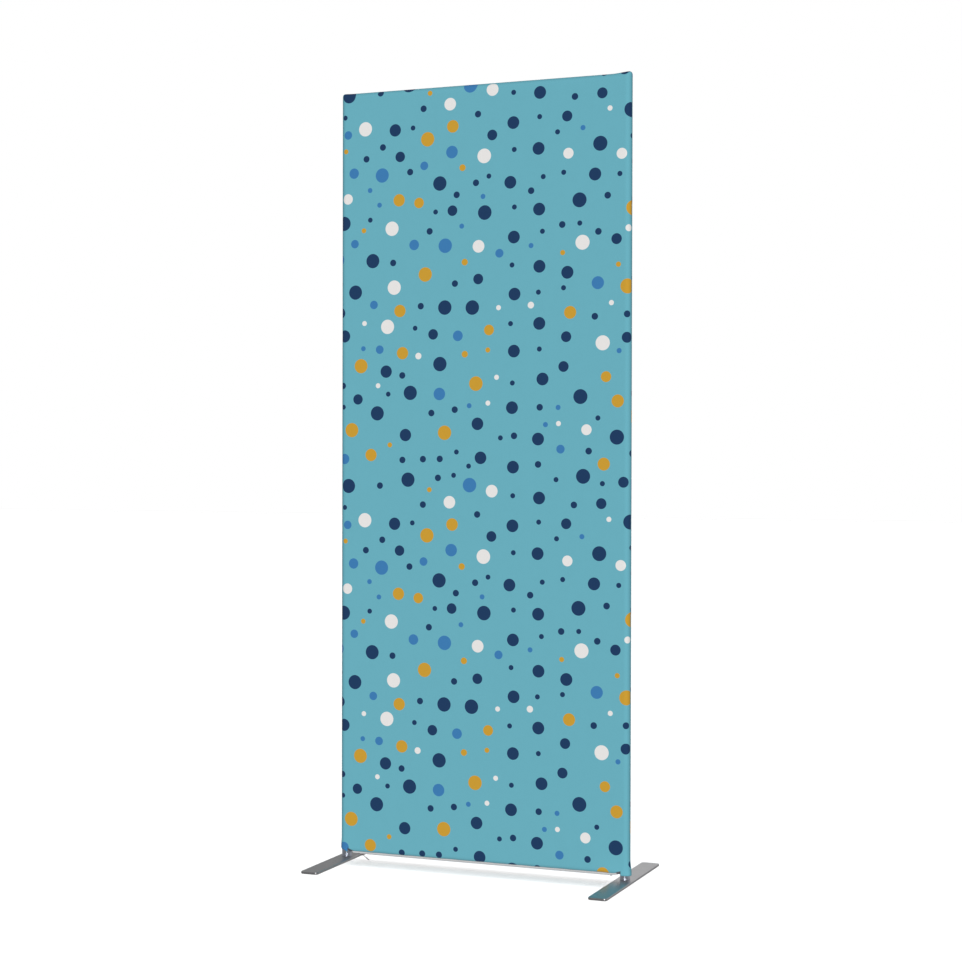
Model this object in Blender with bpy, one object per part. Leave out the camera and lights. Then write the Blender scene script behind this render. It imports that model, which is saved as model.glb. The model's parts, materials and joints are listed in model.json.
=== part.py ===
"""A free-standing partition wall: a printed fabric cover zipped over a plug-together tube frame.

Metres, +Z up. X runs along the wall, -Y is its front, and the origin is on the floor under its middle.
Two flat steel feet carry a spigot each. A bottom connector stands on each spigot, the uprights and the
bottom rail plug onto the connectors, and an elbow closes each top corner. Sprung buttons lock the joints
that come apart for transport, and a zip along the underside closes the cover.
"""

import math

import bmesh
import bpy
from mathutils import Matrix, Vector

# Driving dimensions
WALL_WIDTH = 0.79
WALL_HEIGHT = 2.0
TUBE_RADIUS = 0.0125
TUBE_WALL = 0.0015
FABRIC = 0.0006
GAP = 0.0003
SIDES = 32

FOOT_LENGTH = 0.44
FOOT_WIDTH = 0.048
FOOT_THICKNESS = 0.006
FOOT_CORNER = 0.008
FOOT_EDGE = 0.0012
PAD_RADIUS = 0.009
PAD_THICKNESS = 0.0012
PAD_INSET = 0.024
SPIGOT_RADIUS = 0.008
SPIGOT_HEIGHT = 0.072
SPIGOT_TIP = 0.002
SCREW_RADIUS = 0.004
SCREW_HEAD_RADIUS = 0.0078
SCREW_LENGTH = 0.020
SCREW_TIP = 0.001
HEXAGON_RADIUS = 0.0028
HEXAGON_DEPTH = 0.0025

BOTTOM_RAIL_Z = 0.0325
MIDDLE_JOINT_Z = 1.0
ARM_LENGTH = 0.060
ARM_BORE = 0.0092
SPIGOT_BORE = 0.0083
BOSS_LENGTH = 0.0175
BOSS_RADIUS = 0.0121
ELBOW_LENGTH = 0.0145
CORNER_POWER = 4
CORNER_STEPS = 6
SLEEVE_LENGTH = 0.120

BUTTON_RADIUS = 0.003
BUTTON_HOLE = 0.0038
BUTTON_TIP = 0.0145
BUTTON_DOME = 0.0014
BUTTON_SPACING = 0.036
LEAF_FACE = 0.0084
LEAF_THICKNESS = 0.0007
LEAF_WIDTH = 0.005
LEAF_TAIL = 0.003
LEAF_END = 0.042
LEAF_RIVET_FROM_SHOULDER = 0.012
PIVOT_DEPTH = 0.008
LEAF_RIVET_HOLE = 0.0019
LEAF_RIVET_RADIUS = 0.0014
LEAF_RIVET_HEAD_RADIUS = 0.0022
LEAF_RIVET_HEAD = 0.0008
LEAF_RIVET_PLAY = 0.0005

RIVET_RADIUS = 0.0015
RIVET_HOLE = 0.0018
RIVET_HEAD_RADIUS = 0.0030
RIVET_HEAD = 0.0009
RIVET_DEPTH_IN_ELBOW = 0.0062

HEM_END = 0.0080
LIP_ANGLE = math.radians(37)
LIP_OVERLAP = math.radians(5)
LIP_TO_TAPE = math.radians(2)
TAPE_LEAVES = math.radians(50)
EDGE_STEPS = 10
TAPE_END = 0.362
COIL_END = 0.3435
STOP_LENGTH = 0.004
STOP_HALF_WIDTH = 0.0030
SLIDER_X = -0.336
SLIDER_LENGTH = 0.014
PULL_LENGTH = 0.021
PULL_THICKNESS = 0.0011
PULL_SLOPE = math.radians(34.3)

# Sizes worked out from the driving ones
COVER_INNER = TUBE_RADIUS + GAP
COVER_OUTER = COVER_INNER + FABRIC
UPRIGHT_X = WALL_WIDTH / 2 - COVER_OUTER
TOP_RAIL_Z = WALL_HEIGHT - COVER_OUTER
BORE_RADIUS = TUBE_RADIUS - TUBE_WALL
ARM_RADIUS = BORE_RADIUS - GAP
PLATE_BOTTOM = PAD_THICKNESS + GAP
PLATE_TOP = PLATE_BOTTOM + FOOT_THICKNESS
SCREW_HOLE = SCREW_RADIUS + GAP
CONNECTOR_BOTTOM = PLATE_TOP + GAP
CONNECTOR_TOP = BOTTOM_RAIL_Z + TUBE_RADIUS
ELBOW_BOTTOM = TOP_RAIL_Z - ELBOW_LENGTH
COVER_BOTTOM = BOTTOM_RAIL_Z - COVER_OUTER

# Half widths and depths under the bottom rail's axis of the zip's layers
TAPE_BEND = 0.0067
TAPE_BEND_DEPTH = 0.0126
TAPE_FOLD = 0.0045
TAPE_EDGE = 0.0014
TAPE_DEPTH = 0.0149
COIL_INNER = 0.0011
COIL_OUTER = 0.0026
COIL_TOP = 0.0155
COIL_BOTTOM = 0.0169
SLIDER_HALF_WIDTH = 0.0039
SLIDER_BOTTOM = 0.0180
CHEEK_BOTTOM = 0.0208
CHEEK_INNER = 0.0015
CHEEK_OUTER = 0.0022
CHEEK_HALF_LENGTH = 0.0013
PULL_PIN_DEPTH = 0.0197
PULL_PIN_RADIUS = 0.00055
PULL_PIN_X = SLIDER_X + 0.002

# A cutter runs this far past the face that it opens, and a shape joined on starts this far inside
OVERRUN = 0.001

UP = Vector((0, 0, 1))
DOWN = Vector((0, 0, -1))
SIDE_SIGN = {"left": -1, "right": 1}

# Turns a drill so that its corners miss those of the tube that it goes through
DRILL_TWIST = math.radians(4)


# Materials

def principled(name, color, roughness, metallic):
    material = bpy.data.materials.new(name)
    material.use_nodes = True
    shader = material.node_tree.nodes["Principled BSDF"]
    shader.inputs["Base Color"].default_value = (*color, 1)
    shader.inputs["Roughness"].default_value = roughness
    shader.inputs["Metallic"].default_value = metallic
    return material


def make_materials():
    return {
        "foot_steel": principled("foot_steel", (0.42, 0.42, 0.43), 0.28, 1),
        "pin_steel": principled("pin_steel", (0.55, 0.55, 0.56), 0.25, 1),
        "spring_steel": principled("spring_steel", (0.45, 0.45, 0.47), 0.3, 1),
        "tube_aluminium": principled("tube_aluminium", (0.75, 0.76, 0.78), 0.35, 1),
        "cast_aluminium": principled("cast_aluminium", (0.66, 0.67, 0.70), 0.4, 1),
        "pad_rubber": principled("pad_rubber", (0.03, 0.03, 0.03), 0.8, 0),
        "printed_fabric": principled("printed_fabric", (0.14, 0.44, 0.53), 0.85, 0),
        "zip_tape": principled("zip_tape", (0.55, 0.55, 0.58), 0.8, 0),
        "zip_nylon": principled("zip_nylon", (0.60, 0.60, 0.62), 0.4, 0),
        "zip_metal": principled("zip_metal", (0.60, 0.57, 0.58), 0.3, 1),
    }


# Modelling helpers

def clear_scene():
    for old in list(bpy.data.objects):
        bpy.data.objects.remove(old, do_unlink=True)


def mesh_of(name, bm, material, smooth_below=40):
    """Turns a closed bmesh into mesh data with its faces pointing out."""
    bmesh.ops.remove_doubles(bm, verts=bm.verts, dist=1e-6)
    bmesh.ops.recalc_face_normals(bm, faces=bm.faces)
    mesh = bpy.data.meshes.new(name)
    bm.to_mesh(mesh)
    bm.free()
    mesh.materials.append(material)
    mesh.shade_smooth()
    mesh.set_sharp_from_angle(angle=math.radians(smooth_below))
    return mesh


def add_object(name, mesh, matrix=None):
    obj = bpy.data.objects.new(name, mesh)
    bpy.context.scene.collection.objects.link(obj)
    obj.matrix_world = matrix or Matrix.Identity(4)
    return obj


def add_helper(name, mesh, matrix=None):
    """A cutter or a shape to join on: it only serves a Boolean and isn't a piece."""
    obj = add_object(name, mesh, matrix)
    obj.hide_render = True
    obj.display_type = "WIRE"
    return obj


def boolean(obj, other, operation, solver="EXACT"):
    modifier = obj.modifiers.new(f"{operation.lower()} {other.name}", "BOOLEAN")
    modifier.operation = operation
    modifier.solver = solver
    modifier.object = other


def drill(pieces, cutter):
    """EXACT leaves open edges where small round holes cross a tube's thin wall. MANIFOLD keeps it closed."""
    for piece in pieces:
        boolean(piece, cutter, "DIFFERENCE", "MANIFOLD")


def pivot(name, location, parent=None):
    """An empty on a joint's axis, which carries the pieces that move about it."""
    empty = bpy.data.objects.new(name, None)
    empty.empty_display_size = 0.02
    bpy.context.scene.collection.objects.link(empty)
    empty.location = location
    if parent:
        carry(parent, [empty])
    return empty


def carry(parent, children):
    bpy.context.view_layer.update()
    for child in children:
        child.parent = parent
        child.matrix_parent_inverse = parent.matrix_world.inverted()


def frame_at(origin, along, toward, twist=0):
    """Local Z lies along one direction and local X points toward another, before a twist about Z."""
    across = along.cross(toward)
    turn = Matrix((toward, across, along)).transposed().to_4x4()
    return Matrix.Translation(origin) @ turn @ Matrix.Rotation(twist, 4, "Z")


def turned(profile, sides=SIDES, closed=False):
    """Spins a profile of (radius, height) points about Z. A closed profile makes a ring or a tube."""
    bm = bmesh.new()
    points = [bm.verts.new((radius, 0, height)) for radius, height in profile]
    edges = [bm.edges.new(pair) for pair in zip(points, points[1:])]
    if closed:
        edges.append(bm.edges.new((points[-1], points[0])))
    bmesh.ops.spin(
        bm, geom=points + edges, cent=(0, 0, 0), axis=(0, 0, 1), angle=math.tau, steps=sides, use_merge=True
    )
    return bm


def rod(radius, start, end, sides=SIDES):
    return turned([(0, start), (radius, start), (radius, end), (0, end)], sides)


def pipe(outer, inner, start, end, sides=SIDES):
    return turned([(inner, start), (outer, start), (outer, end), (inner, end)], sides, closed=True)


def extruded(outline, sweep):
    """Extrudes a closed outline of 3-D points along a vector."""
    bm = bmesh.new()
    face = bm.faces.new([bm.verts.new(point) for point in outline])
    grown = bmesh.ops.extrude_face_region(bm, geom=[face])["geom"]
    moved = [item for item in grown if isinstance(item, bmesh.types.BMVert)]
    bmesh.ops.translate(bm, verts=moved, vec=sweep)
    return bm


def block(low, high):
    x0, y0, z0 = low
    x1, y1, z1 = high
    return extruded([(x0, y0, z0), (x1, y0, z0), (x1, y1, z0), (x0, y1, z0)], (0, 0, z1 - z0))


def arc(radius, start, end, steps):
    """(x, y) points of a round arc about the origin."""
    turns = [start + i * (end - start) / steps for i in range(steps + 1)]
    return [(radius * math.cos(turn), radius * math.sin(turn)) for turn in turns]


def rounded_rectangle(half_x, half_y, corner, steps=5):
    outline = []
    for index, (side_x, side_y) in enumerate(((1, 1), (-1, 1), (-1, -1), (1, -1))):
        start = index * math.pi / 2
        for x, y in arc(corner, start, start + math.pi / 2, steps):
            outline.append((side_x * (half_x - corner) + x, side_y * (half_y - corner) + y, 0))
    return outline


# Feet

def make_foot_plate(side, x, materials):
    """A flat bar with round corners and edges, and a countersunk hole from below."""
    place = Matrix.Translation((x, 0, PLATE_BOTTOM))
    bm = extruded(rounded_rectangle(FOOT_WIDTH / 2, FOOT_LENGTH / 2, FOOT_CORNER), (0, 0, FOOT_THICKNESS))
    plate = add_object(f"foot_plate_{side}", mesh_of("foot_plate", bm, materials["foot_steel"]), place)
    edge = plate.modifiers.new("rounded edges", "BEVEL")
    edge.width = FOOT_EDGE
    edge.segments = 2
    sink_radius = SCREW_HEAD_RADIUS + GAP
    sink = [
        (0, -OVERRUN),
        (sink_radius, -OVERRUN),
        (sink_radius, 0),
        (SCREW_HOLE, sink_radius - SCREW_HOLE),
        (SCREW_HOLE, FOOT_THICKNESS + OVERRUN),
        (0, FOOT_THICKNESS + OVERRUN),
    ]
    hole = mesh_of("foot_screw_hole", turned(sink, 24), materials["foot_steel"])
    boolean(plate, add_helper(f"foot_screw_hole_{side}", hole, place), "DIFFERENCE")
    return plate


def make_foot_spigot(side, axis, materials):
    socket = CONNECTOR_BOTTOM + SCREW_LENGTH - FOOT_THICKNESS + SPIGOT_TIP
    top = CONNECTOR_BOTTOM + SPIGOT_HEIGHT
    profile = [
        (0, socket),
        (SCREW_HOLE, socket),
        (SCREW_HOLE, CONNECTOR_BOTTOM),
        (SPIGOT_RADIUS, CONNECTOR_BOTTOM),
        (SPIGOT_RADIUS, top - SPIGOT_TIP),
        (SPIGOT_RADIUS - SPIGOT_TIP, top),
        (0, top),
    ]
    return add_object(
        f"foot_spigot_{side}", mesh_of("foot_spigot", turned(profile, 24), materials["pin_steel"]), axis
    )


def make_foot_screw(side, axis, materials):
    """The countersunk screw that holds the spigot from below, with its hexagon socket."""
    top = PLATE_BOTTOM + SCREW_LENGTH
    profile = [
        (0, PLATE_BOTTOM),
        (SCREW_HEAD_RADIUS, PLATE_BOTTOM),
        (SCREW_RADIUS, PLATE_BOTTOM + SCREW_HEAD_RADIUS - SCREW_RADIUS),
        (SCREW_RADIUS, top - SCREW_TIP),
        (SCREW_RADIUS - SCREW_TIP, top),
        (0, top),
    ]
    screw = add_object(
        f"foot_screw_{side}", mesh_of("foot_screw", turned(profile, 24), materials["pin_steel"]), axis
    )
    hexagon = rod(HEXAGON_RADIUS, PLATE_BOTTOM - OVERRUN, PLATE_BOTTOM + HEXAGON_DEPTH, 6)
    socket = mesh_of("foot_screw_hexagon", hexagon, materials["pin_steel"])
    boolean(screw, add_helper(f"foot_screw_hexagon_{side}", socket, axis), "DIFFERENCE")
    return screw


def make_foot(side, materials):
    """A foot turns as one about its spigot: plate, spigot, screw and two anti-slip pads."""
    x = SIDE_SIGN[side] * UPRIGHT_X
    axis = Matrix.Translation((x, 0, 0))
    pieces = [
        make_foot_plate(side, x, materials),
        make_foot_spigot(side, axis, materials),
        make_foot_screw(side, axis, materials),
    ]
    for end, sign in (("front", -1), ("rear", 1)):
        pad = mesh_of("foot_pad", rod(PAD_RADIUS, 0, PAD_THICKNESS, 24), materials["pad_rubber"])
        place = Matrix.Translation((x, sign * (FOOT_LENGTH / 2 - PAD_INSET), 0))
        pieces.append(add_object(f"foot_pad_{end}_{side}", pad, place))
    carry(pivot(f"foot_swivel_{side}", (x, 0, 0)), pieces)


# Frame

def make_connector(side, materials):
    """The three-way casting at an upright's foot: a bore for the spigot, an arm up and an arm inwards."""
    sign = SIDE_SIGN[side]
    x = sign * UPRIGHT_X
    inwards = Vector((-sign, 0, 0))
    profile = [
        (0, CONNECTOR_BOTTOM),
        (TUBE_RADIUS, CONNECTOR_BOTTOM),
        (TUBE_RADIUS, CONNECTOR_TOP),
        (ARM_RADIUS, CONNECTOR_TOP),
        (ARM_RADIUS, CONNECTOR_TOP + ARM_LENGTH),
        (0, CONNECTOR_TOP + ARM_LENGTH),
    ]
    connector = add_object(
        f"bottom_connector_{side}",
        mesh_of("bottom_connector", turned(profile), materials["cast_aluminium"]),
        Matrix.Translation((x, 0, 0)),
    )
    profile = [
        (0, 0),
        (BOSS_RADIUS, 0),
        (BOSS_RADIUS, BOSS_LENGTH),
        (ARM_RADIUS, BOSS_LENGTH),
        (ARM_RADIUS, BOSS_LENGTH + ARM_LENGTH),
        (0, BOSS_LENGTH + ARM_LENGTH),
    ]
    arm_place = frame_at(Vector((x, 0, BOTTOM_RAIL_Z)), inwards, UP, DRILL_TWIST)
    spigot_bore = rod(SPIGOT_BORE, 0, CONNECTOR_TOP + ARM_LENGTH + OVERRUN)
    arm_bore = rod(ARM_BORE, BOSS_LENGTH, BOSS_LENGTH + ARM_LENGTH + OVERRUN)
    for label, shape, place, operation in (
        ("side_arm", turned(profile), arm_place, "UNION"),
        ("spigot_bore", spigot_bore, Matrix.Translation((x, 0, 0)), "DIFFERENCE"),
        ("side_arm_bore", arm_bore, arm_place, "DIFFERENCE"),
    ):
        helper = add_helper(f"{label}_{side}", mesh_of(label, shape, materials["cast_aluminium"]), place)
        boolean(connector, helper, operation, "MANIFOLD")
    return connector


def corner_reach(turn):
    """How far a top corner reaches in a direction, where 1 is a round corner. It is squarer than round."""
    squared = abs(math.cos(turn)) ** CORNER_POWER + abs(math.sin(turn)) ** CORNER_POWER
    return squared ** (-1 / CORNER_POWER)


def corner_turns(start, end):
    """(outwards, up) directions through a top corner, each as long as the corner reaches there."""
    turns = [start + i * (end - start) / CORNER_STEPS for i in range(CORNER_STEPS + 1)]
    return [(corner_reach(turn) * math.cos(turn), corner_reach(turn) * math.sin(turn)) for turn in turns]


def elbow_body(sign):
    """The elbow's outside: round ends, a soft outer corner and a mitred inner one."""
    circle = arc(TUBE_RADIUS, 0, math.tau * (SIDES - 1) / SIDES, SIDES - 1)
    rings = [[(-sign * ELBOW_LENGTH, across, out) for across, out in circle]]
    for out_x, out_z in corner_turns(math.pi / 2, 0):
        ring = []
        for across, out in circle:
            if out > 0:
                ring.append((sign * out * out_x, across, out * out_z))
            else:
                ring.append((sign * out, across, out))
        rings.append(ring)
    rings.append([(sign * out, across, -ELBOW_LENGTH) for across, out in circle])

    bm = bmesh.new()
    verts = [[bm.verts.new(point) for point in ring] for ring in rings]
    for near, far in zip(verts, verts[1:]):
        for i in range(SIDES):
            j = (i + 1) % SIDES
            bm.faces.new((near[i], near[j], far[j], far[i]))
    bm.faces.new(verts[0])
    bm.faces.new(verts[-1])
    return bm


def make_elbow(side, materials):
    """The top corner: a hollow arm down into the upright and a solid arm into the top rail."""
    sign = SIDE_SIGN[side]
    corner = Vector((sign * UPRIGHT_X, 0, TOP_RAIL_Z))
    inwards = Vector((-sign, 0, 0))
    elbow = add_object(
        f"top_elbow_{side}",
        mesh_of("top_elbow", elbow_body(sign), materials["cast_aluminium"]),
        Matrix.Translation(corner),
    )
    arm_end = ELBOW_LENGTH + ARM_LENGTH
    arm_start = ELBOW_LENGTH - 4 * OVERRUN
    for label, along, toward, radius, start, end, operation in (
        ("arm_down", DOWN, inwards, ARM_RADIUS, arm_start, arm_end, "UNION"),
        ("arm_inward", inwards, UP, ARM_RADIUS, arm_start, arm_end, "UNION"),
        ("bore", DOWN, inwards, ARM_BORE, ELBOW_LENGTH, arm_end + OVERRUN, "DIFFERENCE"),
    ):
        helper = add_helper(
            f"elbow_{label}_{side}",
            mesh_of(f"elbow_{label}", rod(radius, start, end), materials["cast_aluminium"]),
            frame_at(corner, along, toward),
        )
        boolean(elbow, helper, operation, "MANIFOLD")
    return elbow


def make_upright_tube(name, x, start, end, materials):
    bm = pipe(TUBE_RADIUS, BORE_RADIUS, start, end)
    return add_object(name, mesh_of(name, bm, materials["tube_aluminium"]), Matrix.Translation((x, 0, 0)))


def make_rail(name, z, half_length, materials):
    bm = pipe(TUBE_RADIUS, BORE_RADIUS, -half_length, half_length)
    place = frame_at(Vector((0, 0, z)), Vector((1, 0, 0)), UP)
    return add_object(name, mesh_of(name, bm, materials["tube_aluminium"]), place)


def make_sleeve(side, materials):
    bm = pipe(ARM_RADIUS, ARM_BORE, -SLEEVE_LENGTH / 2, SLEEVE_LENGTH / 2)
    x = SIDE_SIGN[side] * UPRIGHT_X
    return add_object(
        f"joint_sleeve_{side}",
        mesh_of("joint_sleeve", bm, materials["tube_aluminium"]),
        Matrix.Translation((x, 0, MIDDLE_JOINT_Z)),
    )


def fix_with_rivet(name, origin, along, toward, drilled, depth, materials):
    """A blind rivet through a tube's wall into the piece inside it."""
    hole = rod(RIVET_HOLE, depth - 3 * GAP, TUBE_RADIUS + OVERRUN, 12)
    cutter = add_helper(
        f"{name}_hole",
        mesh_of("rivet_hole", hole, materials["pin_steel"]),
        frame_at(origin, toward, along, DRILL_TWIST),
    )
    drill(drilled, cutter)
    seat = TUBE_RADIUS + GAP
    profile = [
        (0, depth),
        (RIVET_RADIUS, depth),
        (RIVET_RADIUS, seat),
        (RIVET_HEAD_RADIUS, seat),
        (RIVET_HEAD_RADIUS * 0.75, seat + RIVET_HEAD * 0.75),
        (0, seat + RIVET_HEAD),
    ]
    rivet = mesh_of(name, turned(profile, 12), materials["pin_steel"])
    add_object(name, rivet, frame_at(origin, toward, along))


# Sprung buttons

def button_profile():
    """A straight pin with a domed tip that sticks out of the tube."""
    shoulder = BUTTON_TIP - BUTTON_DOME
    profile = [(0, LEAF_FACE + GAP), (BUTTON_RADIUS, LEAF_FACE + GAP), (BUTTON_RADIUS, shoulder)]
    for turn in (math.radians(30), math.radians(60)):
        profile.append((BUTTON_RADIUS * math.cos(turn), shoulder + BUTTON_DOME * math.sin(turn)))
    return profile + [(0, BUTTON_TIP)]


def leaf_rivet_profile():
    head = LEAF_FACE - LEAF_THICKNESS - LEAF_RIVET_PLAY
    end = ARM_RADIUS - GAP
    return [
        (0, head - LEAF_RIVET_HEAD),
        (LEAF_RIVET_HEAD_RADIUS, head - LEAF_RIVET_HEAD),
        (LEAF_RIVET_HEAD_RADIUS, head),
        (LEAF_RIVET_RADIUS, head),
        (LEAF_RIVET_RADIUS, end),
        (0, end),
    ]


def make_snap(name, origin, along, toward, carrier, tube, materials):
    """A button on a leaf spring. The leaf is riveted inside the carrier, and the button locks the tube on it.

    Along runs down the carrier from the rivet to the button, and toward is the way the button sticks out.
    """
    button_origin = origin + along * BUTTON_SPACING
    low = (LEAF_FACE - LEAF_THICKNESS, -LEAF_WIDTH / 2, -LEAF_TAIL)
    strip = block(low, (LEAF_FACE, LEAF_WIDTH / 2, LEAF_END))
    leaf = add_object(
        f"snap_leaf_{name}",
        mesh_of("snap_leaf", strip, materials["spring_steel"]),
        frame_at(origin, along, toward),
    )
    button_hole = rod(BUTTON_HOLE, LEAF_FACE / 2, BUTTON_TIP + OVERRUN, 16)
    rivet_hole = rod(LEAF_RIVET_HOLE, LEAF_FACE / 2, TUBE_RADIUS, 12)
    for label, hole, place, drilled in (
        ("snap_hole", button_hole, button_origin, [carrier, tube]),
        ("snap_rivet_hole", rivet_hole, origin, [carrier, leaf]),
    ):
        cutter = add_helper(
            f"{label}_{name}",
            mesh_of(label, hole, materials["spring_steel"]),
            frame_at(place, toward, along, DRILL_TWIST),
        )
        drill(drilled, cutter)

    button = add_object(
        f"snap_button_{name}",
        mesh_of("snap_button", turned(button_profile(), 20), materials["pin_steel"]),
        frame_at(button_origin, toward, along),
    )
    add_object(
        f"snap_rivet_{name}",
        mesh_of("snap_rivet", turned(leaf_rivet_profile(), 12), materials["pin_steel"]),
        frame_at(origin, toward, along),
    )
    carry(pivot(f"snap_hinge_{name}", origin + toward * PIVOT_DEPTH), [leaf, button])


def make_frame(materials):
    boss_end = UPRIGHT_X - BOSS_LENGTH
    bottom_rail = make_rail("bottom_rail", BOTTOM_RAIL_Z, boss_end - GAP, materials)
    top_rail = make_rail("top_rail", TOP_RAIL_Z, UPRIGHT_X - ELBOW_LENGTH - GAP, materials)
    for side, sign in SIDE_SIGN.items():
        x = sign * UPRIGHT_X
        inwards = Vector((-sign, 0, 0))
        connector = make_connector(side, materials)
        elbow = make_elbow(side, materials)
        sleeve = make_sleeve(side, materials)
        lower = make_upright_tube(
            f"upright_lower_{side}", x, CONNECTOR_TOP + GAP, MIDDLE_JOINT_Z - GAP / 2, materials
        )
        upper = make_upright_tube(
            f"upright_upper_{side}", x, MIDDLE_JOINT_Z + GAP / 2, ELBOW_BOTTOM - GAP, materials
        )
        make_snap(
            f"bottom_{side}",
            Vector((sign * (boss_end - LEAF_RIVET_FROM_SHOULDER), 0, BOTTOM_RAIL_Z)),
            inwards, UP, connector, bottom_rail, materials,
        )
        make_snap(
            f"middle_{side}", Vector((x, 0, MIDDLE_JOINT_Z - LEAF_RIVET_FROM_SHOULDER / 2)),
            UP, inwards, sleeve, upper, materials,
        )
        make_snap(
            f"top_{side}", Vector((x, 0, ELBOW_BOTTOM - LEAF_RIVET_FROM_SHOULDER)),
            DOWN, inwards, elbow, upper, materials,
        )
        fix_with_rivet(
            f"connector_rivet_{side}", Vector((x, 0, CONNECTOR_TOP + ARM_LENGTH / 2)),
            UP, inwards, [lower, connector], SPIGOT_BORE + GAP, materials,
        )
        fix_with_rivet(
            f"sleeve_rivet_{side}", Vector((x, 0, MIDDLE_JOINT_Z - SLEEVE_LENGTH / 3)),
            UP, inwards, [lower, sleeve], ARM_BORE + GAP, materials,
        )
        elbow_rivet_x = sign * (UPRIGHT_X - ELBOW_LENGTH - ARM_LENGTH / 2)
        fix_with_rivet(
            f"elbow_rivet_{side}", Vector((elbow_rivet_x, 0, TOP_RAIL_Z)),
            inwards, DOWN, [top_rail, elbow], RIVET_DEPTH_IN_ELBOW, materials,
        )


# Cover

def cover_stations():
    """(base x, base z, out x, out z) round the edge, from the lower left corner to the lower right."""
    stations = [(-UPRIGHT_X, COVER_BOTTOM, -1, 0)]
    stations += [(-UPRIGHT_X, TOP_RAIL_Z, *out) for out in corner_turns(math.pi, math.pi / 2)]
    stations += [(UPRIGHT_X, TOP_RAIL_Z, *out) for out in corner_turns(math.pi / 2, 0)]
    return stations + [(UPRIGHT_X, COVER_BOTTOM, 1, 0)]


def cover_skin(bm, radius, sign):
    """The edge's rings of vertices, each from the flat face round to the seam, and the face's own outline."""
    section = [(out, max(across, GAP / 2)) for across, out in arc(radius, 0, math.pi / 2, EDGE_STEPS)]
    rings = [
        [bm.verts.new((x + out * out_x, sign * across, z + out * out_z)) for out, across in section]
        for x, z, out_x, out_z in cover_stations()
    ]
    lip_half = UPRIGHT_X - HEM_END
    notch = [
        (lip_half, COVER_BOTTOM),
        (lip_half, BOTTOM_RAIL_Z),
        (-lip_half, BOTTOM_RAIL_Z),
        (-lip_half, COVER_BOTTOM),
    ]
    left_corner = CORNER_STEPS // 2 + 1
    right_corner = len(rings) - 1 - left_corner
    outline = [rings[i][0] for i in (0, left_corner, right_corner, -1)]
    outline += [bm.verts.new((x, sign * radius, z)) for x, z in notch]
    return rings, outline


def make_cover_half(name, sign, materials):
    """The front or back: a flat face, its half of the round edges, and the lip that rolls under the rail."""
    bm = bmesh.new()
    rings, outline = cover_skin(bm, COVER_OUTER, sign)
    inner_rings, inner_outline = cover_skin(bm, COVER_INNER, sign)
    for skin in (rings, inner_rings):
        for near, far in zip(skin, skin[1:]):
            for i in range(EDGE_STEPS):
                bm.faces.new((near[i], near[i + 1], far[i + 1], far[i]))
    bm.faces.new(outline)
    bm.faces.new(inner_outline)
    seam = [(ring[-1], inner[-1]) for ring, inner in zip(rings, inner_rings)]
    left_end = list(zip(rings[0], inner_rings[0]))
    right_end = list(zip(rings[-1], inner_rings[-1]))
    hem = list(zip(outline, inner_outline))[3:] + [(outline[0], inner_outline[0])]
    for rim in (seam, left_end, right_end, hem):
        for (outside, inside), (next_outside, next_inside) in zip(rim, rim[1:]):
            bm.faces.new((outside, inside, next_inside, next_outside))
    half = add_object(name, mesh_of(name, bm, materials["printed_fabric"]))

    section = arc(COVER_OUTER, -LIP_OVERLAP, LIP_ANGLE, 5) + arc(COVER_INNER, LIP_ANGLE, -LIP_OVERLAP, 5)
    lip_half = UPRIGHT_X - HEM_END
    lip_outline = [(-lip_half, sign * y, BOTTOM_RAIL_Z - z) for y, z in section]
    lip_shape = extruded(lip_outline, (2 * lip_half, 0, 0))
    lip = add_helper(f"{name}_lip", mesh_of("lip", lip_shape, materials["printed_fabric"]))
    boolean(half, lip, "UNION")


def make_cover(materials):
    make_cover_half("cover_front", -1, materials)
    make_cover_half("cover_back", 1, materials)


# Zip

def make_tape(name, sign, materials):
    """One tape of the zip, from the cover's lip down to the zip's middle."""
    radius = COVER_INNER + FABRIC / 2
    path = arc(radius, LIP_ANGLE + LIP_TO_TAPE, TAPE_LEAVES, 2)
    path += [(TAPE_BEND, TAPE_BEND_DEPTH), (TAPE_FOLD, TAPE_DEPTH - GAP), (TAPE_EDGE, TAPE_DEPTH)]
    outside, inside = [], []
    for i, (y, z) in enumerate(path):
        before = Vector(path[max(i - 1, 0)])
        after = Vector(path[min(i + 1, len(path) - 1)])
        step = (after - before).normalized() * FABRIC / 2
        outside.append((y - step.y, z + step.x))
        inside.append((y + step.y, z - step.x))
    section = outside + inside[::-1]
    outline = [(-TAPE_END, sign * y, BOTTOM_RAIL_Z - z) for y, z in section]
    add_object(name, mesh_of(name, extruded(outline, (2 * TAPE_END, 0, 0)), materials["zip_tape"]))


def make_coil(name, sign, materials):
    near, far = sorted((sign * COIL_INNER, sign * COIL_OUTER))
    bm = block((-COIL_END, near, BOTTOM_RAIL_Z - COIL_BOTTOM), (COIL_END, far, BOTTOM_RAIL_Z - COIL_TOP))
    add_object(name, mesh_of(name, bm, materials["zip_nylon"]))


def make_stop(name, sign, materials):
    near, far = sorted((sign * (COIL_END + GAP), sign * (COIL_END + GAP + STOP_LENGTH)))
    bottom = BOTTOM_RAIL_Z - COIL_BOTTOM - GAP
    bm = block((near, -STOP_HALF_WIDTH, bottom), (far, STOP_HALF_WIDTH, BOTTOM_RAIL_Z - COIL_TOP))
    add_object(name, mesh_of(name, bm, materials["zip_metal"]))


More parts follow.
